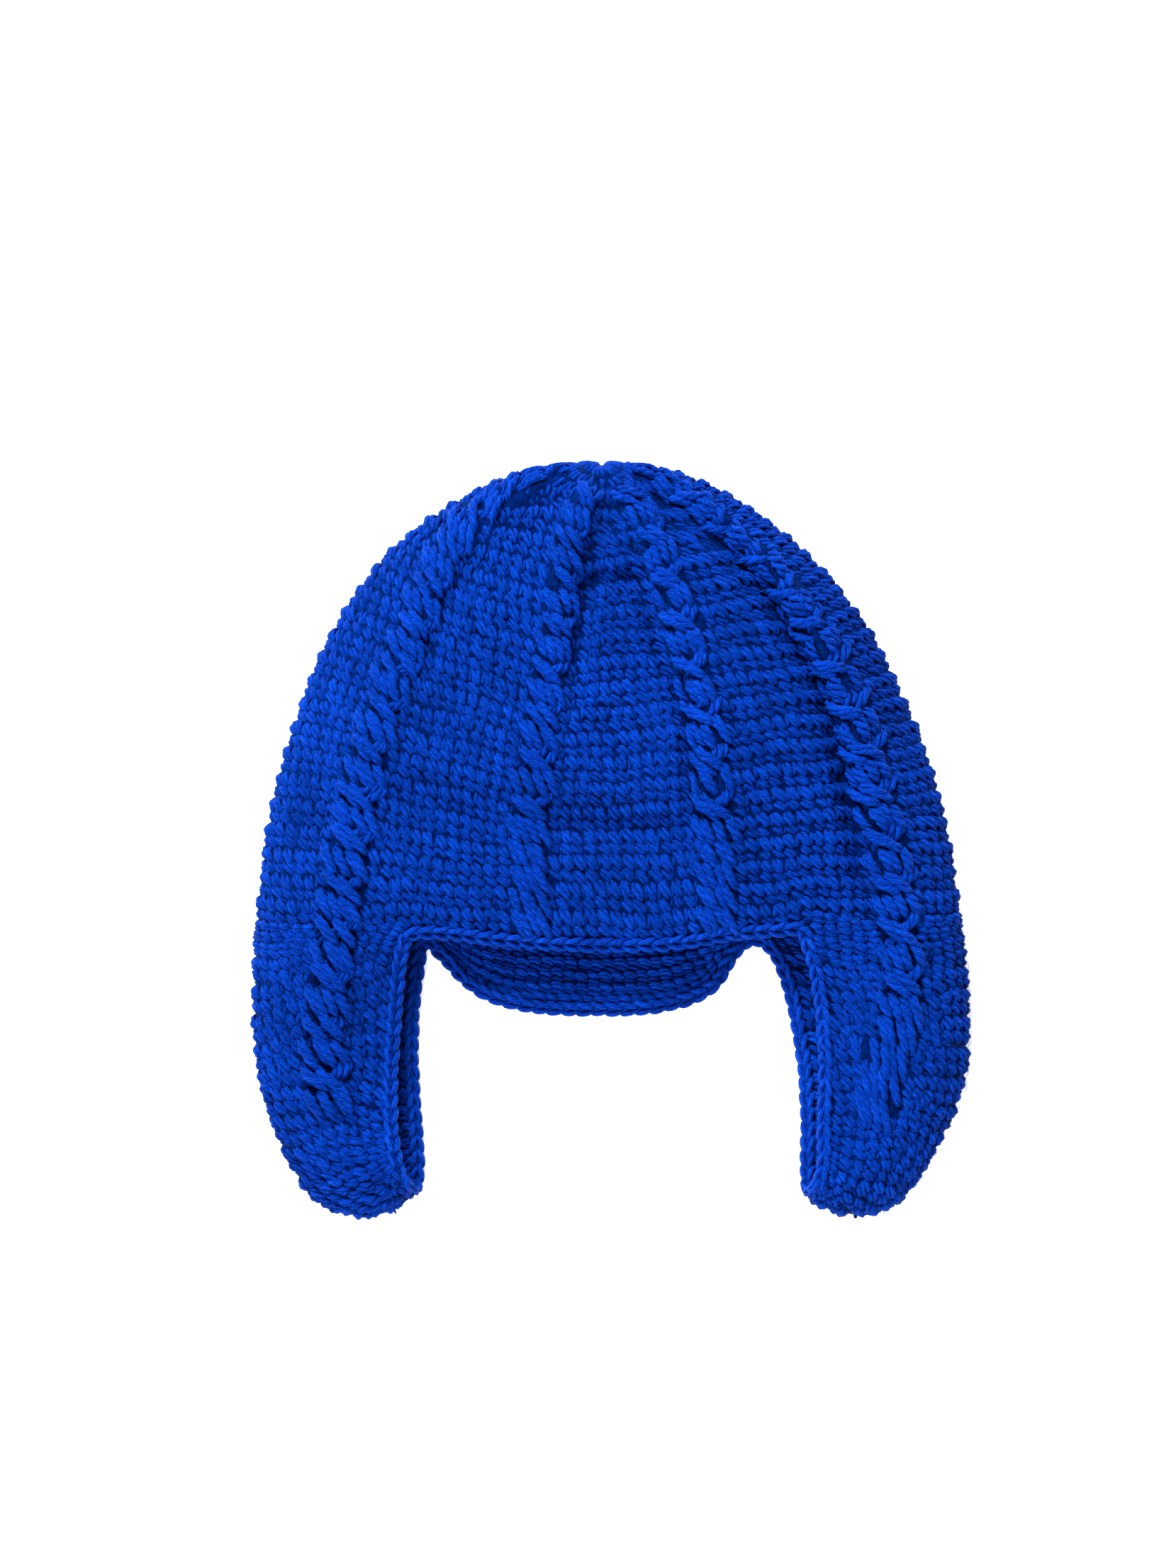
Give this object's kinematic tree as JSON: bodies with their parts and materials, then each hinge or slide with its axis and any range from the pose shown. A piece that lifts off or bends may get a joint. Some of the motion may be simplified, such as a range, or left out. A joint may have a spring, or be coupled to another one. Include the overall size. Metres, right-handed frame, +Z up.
{
  "type": "earflap hat",
  "caption": "Thick crochet hat with raised cables, long cupped ear flaps, a short nape flap and a rope-like edging, lying flat on its back.",
  "frame": {"origin": "centre of the box around the hat, at the floor that its back layer lies on", "axes": "+Y from the flaps to the gathered top of the crown, +X to the right in the picture, +Z up from the floor out of the front layer"},
  "size_m": [0.27, 0.2841, 0.0317],
  "materials": {
    "yarn": "soft, slightly fuzzy blue yarn",
    "edging_yarn": "soft, slightly fuzzy blue yarn"
  },
  "bodies": {
    "root": {"crown": "yarn", "ear_flap_left": "yarn", "ear_flap_right": "yarn", "nape_flap": "yarn", "edging": "edging_yarn"}
  },
  "joints": []
}
